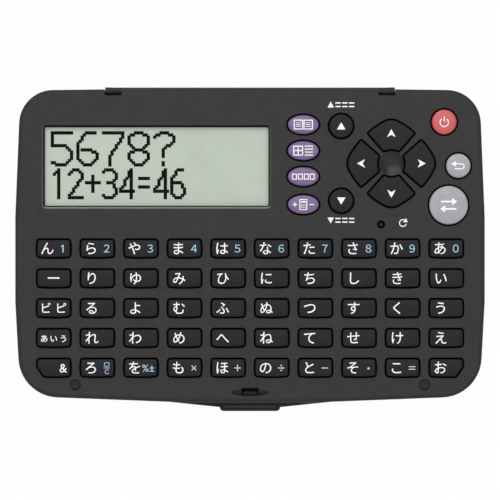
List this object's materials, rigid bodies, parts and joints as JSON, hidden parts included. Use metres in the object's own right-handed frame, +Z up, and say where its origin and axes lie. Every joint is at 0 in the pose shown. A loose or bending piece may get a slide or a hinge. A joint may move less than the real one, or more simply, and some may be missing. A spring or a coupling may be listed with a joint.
{
  "type": "electronic dictionary",
  "caption": "Card-size electronic dictionary: rounded flat case with display, keypad and cursor keys, and a hard cover folded under it on a two-axis hinge link",
  "frame": {"origin": "on the surface it stands on, under the middle of the object", "axes": "+X along the length to the right of the keys, +Y from the front edge to the hinge, +Z up out of the key face"},
  "size_m": [0.11, 0.0762, 0.0126],
  "materials": {
    "case": "fine satin texture",
    "key_dark": "satin",
    "key_purple": "satin",
    "key_red": "satin",
    "key_grey": "satin",
    "window": "clear",
    "display": "satin",
    "film": "film",
    "board": "solder mask",
    "chip": "matte",
    "rubber": "matte",
    "steel": "plated",
    "contact": "plated"
  },
  "bodies": {
    "case": {"bottom_case": "case", "top_case": "case", "display_window": "window", "display_panel": "display", "display_cable": "film", "main_board": "board", "processor_chip": "chip", "memory_chip": "chip", "key_mat": "rubber", "coin_cell": "steel", "cell_top_contact": "contact", "cell_side_contact": "contact", "case_screw_front_left": "steel", "case_screw_front_right": "steel", "case_screw_rear_left": "steel", "case_screw_rear_right": "steel", "stop_pad_left": "rubber", "stop_pad_right": "rubber", "case_hinge_pin": "steel"},
    "link": {"hinge_link": "case", "lid_hinge_pin": "steel"},
    "lid": {"lid": "case"},
    "battery_door": {"battery_door": "case"},
    "scroll_up_key": {"scroll_up_key": "key_dark"},
    "scroll_down_key": {"scroll_down_key": "key_dark"},
    "cursor_up_key": {"cursor_up_key": "key_dark"},
    "cursor_left_key": {"cursor_left_key": "key_dark"},
    "cursor_down_key": {"cursor_down_key": "key_dark"},
    "cursor_right_key": {"cursor_right_key": "key_dark"},
    "digit_key_1": {"digit_key_1": "key_dark"},
    "digit_key_2": {"digit_key_2": "key_dark"},
    "digit_key_3": {"digit_key_3": "key_dark"},
    "digit_key_4": {"digit_key_4": "key_dark"},
    "digit_key_5": {"digit_key_5": "key_dark"},
    "digit_key_6": {"digit_key_6": "key_dark"},
    "digit_key_7": {"digit_key_7": "key_dark"},
    "digit_key_8": {"digit_key_8": "key_dark"},
    "digit_key_9": {"digit_key_9": "key_dark"},
    "digit_key_0": {"digit_key_0": "key_dark"},
    "symbol_key": {"symbol_key": "key_dark"},
    "clear_key": {"clear_key": "key_dark"},
    "percent_key": {"percent_key": "key_dark"},
    "times_key": {"times_key": "key_dark"},
    "plus_key": {"plus_key": "key_dark"},
    "divide_key": {"divide_key": "key_dark"},
    "minus_key": {"minus_key": "key_dark"},
    "point_key": {"point_key": "key_dark"},
    "equals_key": {"equals_key": "key_dark"},
    "vowel_key": {"vowel_key": "key_dark"},
    "kana_row_rear": {"kana_row_rear": "key_dark"},
    "kana_row_middle": {"kana_row_middle": "key_dark"},
    "kana_row_front": {"kana_row_front": "key_dark"},
    "mode_key_1": {"mode_key_1": "key_purple"},
    "mode_key_2": {"mode_key_2": "key_purple"},
    "mode_key_3": {"mode_key_3": "key_purple"},
    "mode_key_4": {"mode_key_4": "key_purple"},
    "back_key": {"back_key": "key_grey"},
    "enter_key": {"enter_key": "key_grey"},
    "power_key": {"power_key": "key_red"},
    "reset_button": {"reset_button": "key_dark"}
  },
  "joints": [
    {"name": "link_fold", "type": "hinge", "parent": "case", "child": "link", "pos_m": [0, 0.03717, 0.0079], "axis": [1, 0, 0], "range_deg": [0, 180]},
    {"name": "lid_fold", "type": "hinge", "parent": "link", "child": "lid", "pos_m": [0, 0.03717, 0.0027], "axis": [1, 0, 0], "range_deg": [0, 180]},
    {"name": "battery_door_turn", "type": "hinge", "parent": "case", "child": "battery_door", "pos_m": [-0.0219, 0.0195, 0.004], "axis": [0, 0, 1], "range_deg": [0, 60]},
    {"name": "scroll_up_key_press", "type": "slide", "parent": "case", "child": "scroll_up_key", "axis": [0, 0, -1], "range_m": [0, 0.0006], "stiffness_N_per_m": 250},
    {"name": "scroll_down_key_press", "type": "slide", "parent": "case", "child": "scroll_down_key", "axis": [0, 0, -1], "range_m": [0, 0.0006], "stiffness_N_per_m": 250},
    {"name": "cursor_up_key_press", "type": "slide", "parent": "case", "child": "cursor_up_key", "axis": [0, 0, -1], "range_m": [0, 0.0006], "stiffness_N_per_m": 250},
    {"name": "cursor_left_key_press", "type": "slide", "parent": "case", "child": "cursor_left_key", "axis": [0, 0, -1], "range_m": [0, 0.0006], "stiffness_N_per_m": 250},
    {"name": "cursor_down_key_press", "type": "slide", "parent": "case", "child": "cursor_down_key", "axis": [0, 0, -1], "range_m": [0, 0.0006], "stiffness_N_per_m": 250},
    {"name": "cursor_right_key_press", "type": "slide", "parent": "case", "child": "cursor_right_key", "axis": [0, 0, -1], "range_m": [0, 0.0006], "stiffness_N_per_m": 250},
    {"name": "digit_key_1_press", "type": "slide", "parent": "case", "child": "digit_key_1", "axis": [0, 0, -1], "range_m": [0, 0.0006], "stiffness_N_per_m": 250},
    {"name": "digit_key_2_press", "type": "slide", "parent": "case", "child": "digit_key_2", "axis": [0, 0, -1], "range_m": [0, 0.0006], "stiffness_N_per_m": 250},
    {"name": "digit_key_3_press", "type": "slide", "parent": "case", "child": "digit_key_3", "axis": [0, 0, -1], "range_m": [0, 0.0006], "stiffness_N_per_m": 250},
    {"name": "digit_key_4_press", "type": "slide", "parent": "case", "child": "digit_key_4", "axis": [0, 0, -1], "range_m": [0, 0.0006], "stiffness_N_per_m": 250},
    {"name": "digit_key_5_press", "type": "slide", "parent": "case", "child": "digit_key_5", "axis": [0, 0, -1], "range_m": [0, 0.0006], "stiffness_N_per_m": 250},
    {"name": "digit_key_6_press", "type": "slide", "parent": "case", "child": "digit_key_6", "axis": [0, 0, -1], "range_m": [0, 0.0006], "stiffness_N_per_m": 250},
    {"name": "digit_key_7_press", "type": "slide", "parent": "case", "child": "digit_key_7", "axis": [0, 0, -1], "range_m": [0, 0.0006], "stiffness_N_per_m": 250},
    {"name": "digit_key_8_press", "type": "slide", "parent": "case", "child": "digit_key_8", "axis": [0, 0, -1], "range_m": [0, 0.0006], "stiffness_N_per_m": 250},
    {"name": "digit_key_9_press", "type": "slide", "parent": "case", "child": "digit_key_9", "axis": [0, 0, -1], "range_m": [0, 0.0006], "stiffness_N_per_m": 250},
    {"name": "digit_key_0_press", "type": "slide", "parent": "case", "child": "digit_key_0", "axis": [0, 0, -1], "range_m": [0, 0.0006], "stiffness_N_per_m": 250},
    {"name": "symbol_key_press", "type": "slide", "parent": "case", "child": "symbol_key", "axis": [0, 0, -1], "range_m": [0, 0.0006], "stiffness_N_per_m": 250},
    {"name": "clear_key_press", "type": "slide", "parent": "case", "child": "clear_key", "axis": [0, 0, -1], "range_m": [0, 0.0006], "stiffness_N_per_m": 250},
    {"name": "percent_key_press", "type": "slide", "parent": "case", "child": "percent_key", "axis": [0, 0, -1], "range_m": [0, 0.0006], "stiffness_N_per_m": 250},
    {"name": "times_key_press", "type": "slide", "parent": "case", "child": "times_key", "axis": [0, 0, -1], "range_m": [0, 0.0006], "stiffness_N_per_m": 250},
    {"name": "plus_key_press", "type": "slide", "parent": "case", "child": "plus_key", "axis": [0, 0, -1], "range_m": [0, 0.0006], "stiffness_N_per_m": 250},
    {"name": "divide_key_press", "type": "slide", "parent": "case", "child": "divide_key", "axis": [0, 0, -1], "range_m": [0, 0.0006], "stiffness_N_per_m": 250},
    {"name": "minus_key_press", "type": "slide", "parent": "case", "child": "minus_key", "axis": [0, 0, -1], "range_m": [0, 0.0006], "stiffness_N_per_m": 250},
    {"name": "point_key_press", "type": "slide", "parent": "case", "child": "point_key", "axis": [0, 0, -1], "range_m": [0, 0.0006], "stiffness_N_per_m": 250},
    {"name": "equals_key_press", "type": "slide", "parent": "case", "child": "equals_key", "axis": [0, 0, -1], "range_m": [0, 0.0006], "stiffness_N_per_m": 250},
    {"name": "vowel_key_press", "type": "slide", "parent": "case", "child": "vowel_key", "axis": [0, 0, -1], "range_m": [0, 0.0006], "stiffness_N_per_m": 250},
    {"name": "kana_row_rear_press", "type": "slide", "parent": "case", "child": "kana_row_rear", "axis": [0, 0, -1], "range_m": [0, 0.0006], "stiffness_N_per_m": 250},
    {"name": "kana_row_middle_press", "type": "slide", "parent": "case", "child": "kana_row_middle", "axis": [0, 0, -1], "range_m": [0, 0.0006], "stiffness_N_per_m": 250},
    {"name": "kana_row_front_press", "type": "slide", "parent": "case", "child": "kana_row_front", "axis": [0, 0, -1], "range_m": [0, 0.0006], "stiffness_N_per_m": 250},
    {"name": "mode_key_1_press", "type": "slide", "parent": "case", "child": "mode_key_1", "axis": [0, 0, -1], "range_m": [0, 0.0006], "stiffness_N_per_m": 250},
    {"name": "mode_key_2_press", "type": "slide", "parent": "case", "child": "mode_key_2", "axis": [0, 0, -1], "range_m": [0, 0.0006], "stiffness_N_per_m": 250},
    {"name": "mode_key_3_press", "type": "slide", "parent": "case", "child": "mode_key_3", "axis": [0, 0, -1], "range_m": [0, 0.0006], "stiffness_N_per_m": 250},
    {"name": "mode_key_4_press", "type": "slide", "parent": "case", "child": "mode_key_4", "axis": [0, 0, -1], "range_m": [0, 0.0006], "stiffness_N_per_m": 250},
    {"name": "back_key_press", "type": "slide", "parent": "case", "child": "back_key", "axis": [0, 0, -1], "range_m": [0, 0.0006], "stiffness_N_per_m": 250},
    {"name": "enter_key_press", "type": "slide", "parent": "case", "child": "enter_key", "axis": [0, 0, -1], "range_m": [0, 0.0006], "stiffness_N_per_m": 250},
    {"name": "power_key_press", "type": "slide", "parent": "case", "child": "power_key", "axis": [0, 0, -1], "range_m": [0, 0.0006], "stiffness_N_per_m": 250},
    {"name": "reset_button_press", "type": "slide", "parent": "case", "child": "reset_button", "axis": [0, 0, -1], "range_m": [0, 0.0003], "stiffness_N_per_m": 250}
  ]
}
